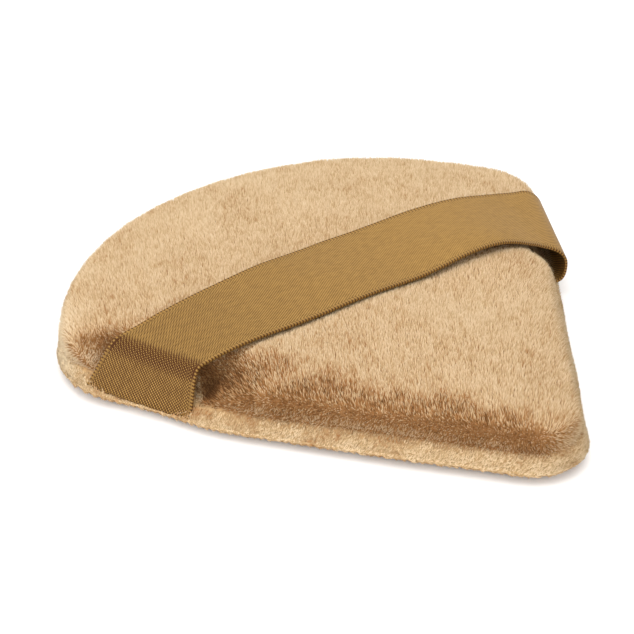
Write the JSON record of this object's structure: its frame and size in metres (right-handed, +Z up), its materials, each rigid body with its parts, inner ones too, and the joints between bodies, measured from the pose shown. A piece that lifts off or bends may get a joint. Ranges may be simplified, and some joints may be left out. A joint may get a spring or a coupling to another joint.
{
  "type": "powder puff",
  "caption": "Pie-slice velour powder puff with a crowned foam core, a turned edge seam and a satin ribbon finger strap that lifts off its top.",
  "frame": {"origin": "middle of the pad's plan box, on the flat lower face that it rests on", "axes": "+Z up through the pad, -Y towards the rounded tip, +X to the right with the tip towards the viewer"},
  "size_m": [0.0824, 0.0834, 0.0118],
  "materials": {
    "velour": "short dense pile, matt",
    "foam": "open-cell sponge, matt",
    "satin_ribbon": "woven satin, soft sheen",
    "thread": "twisted polyester thread, matt"
  },
  "bodies": {
    "pad": {"upper_cover": "velour", "lower_cover": "velour", "foam_pad": "foam", "strap_left_end": "satin_ribbon", "strap_right_end": "satin_ribbon", "seam_thread": "thread", "closing_thread": "thread"},
    "strap": {"strap_span": "satin_ribbon"}
  },
  "joints": [
    {"name": "strap_lift", "type": "slide", "parent": "pad", "child": "strap", "axis": [0, 0, 1], "range_m": [0, 0.01]}
  ]
}
